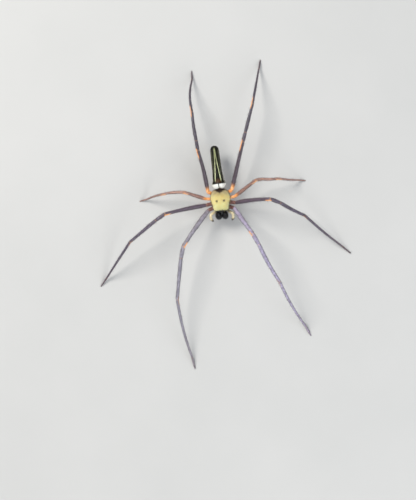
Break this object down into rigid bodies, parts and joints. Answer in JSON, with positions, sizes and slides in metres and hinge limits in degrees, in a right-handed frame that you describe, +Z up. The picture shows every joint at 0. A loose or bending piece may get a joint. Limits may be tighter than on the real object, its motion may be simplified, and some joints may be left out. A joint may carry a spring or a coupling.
{
  "type": "golden silk orb weaver spider",
  "caption": "Life-size female golden silk orb weaver standing on a floor: pale furry carapace, long striped abdomen, long thin dark legs.",
  "frame": {"origin": "middle of the footprint of the whole animal, on the floor it stands on", "axes": "+Z up from the floor, +Y towards the tip of the abdomen (the head faces -Y), +X towards the animal's left legs"},
  "size_m": [0.1384, 0.1654, 0.0227],
  "materials": {
    "carapace": "short golden fur",
    "sternum": "smooth shell, satin",
    "mouthparts": "smooth shell, satin",
    "abdomen": "soft skin with short fur, pale stripes",
    "pedicel": "satin",
    "spinnerets": "satin",
    "chelicera": "glossy shell",
    "fang": "glossy horn",
    "palp": "satin, dark tips",
    "eye": "polished lens",
    "leg_base": "satin",
    "leg": "satin with fine hairs"
  },
  "bodies": {
    "root": {"carapace": "carapace", "sternum": "sternum", "labium": "mouthparts", "abdomen": "abdomen", "pedicel": "pedicel", "spinnerets": "spinnerets", "chelicera_left": "chelicera", "fang_left": "fang", "maxilla_left": "mouthparts", "palp_left": "palp", "eye_front_median_left": "eye", "eye_rear_median_left": "eye", "eye_front_side_left": "eye", "eye_rear_side_left": "eye", "chelicera_right": "chelicera", "fang_right": "fang", "maxilla_right": "mouthparts", "palp_right": "palp", "eye_front_median_right": "eye", "eye_rear_median_right": "eye", "eye_front_side_right": "eye", "eye_rear_side_right": "eye", "leg_left_1_coxa": "leg", "leg_left_1_femur": "leg", "leg_left_1_tibia": "leg", "leg_left_1_foot": "leg", "leg_left_2_coxa": "leg", "leg_left_2_femur": "leg", "leg_left_2_tibia": "leg", "leg_left_2_foot": "leg", "leg_left_3_coxa": "leg_base", "leg_left_3_femur": "leg", "leg_left_3_tibia": "leg", "leg_left_3_foot": "leg", "leg_left_4_coxa": "leg_base", "leg_left_4_femur": "leg", "leg_left_4_tibia": "leg", "leg_left_4_foot": "leg", "leg_right_1_coxa": "leg", "leg_right_1_femur": "leg", "leg_right_1_tibia": "leg", "leg_right_1_foot": "leg", "leg_right_2_coxa": "leg", "leg_right_2_femur": "leg", "leg_right_2_tibia": "leg", "leg_right_2_foot": "leg", "leg_right_3_coxa": "leg_base", "leg_right_3_femur": "leg", "leg_right_3_tibia": "leg", "leg_right_3_foot": "leg", "leg_right_4_coxa": "leg_base", "leg_right_4_femur": "leg", "leg_right_4_tibia": "leg", "leg_right_4_foot": "leg"}
  },
  "joints": []
}
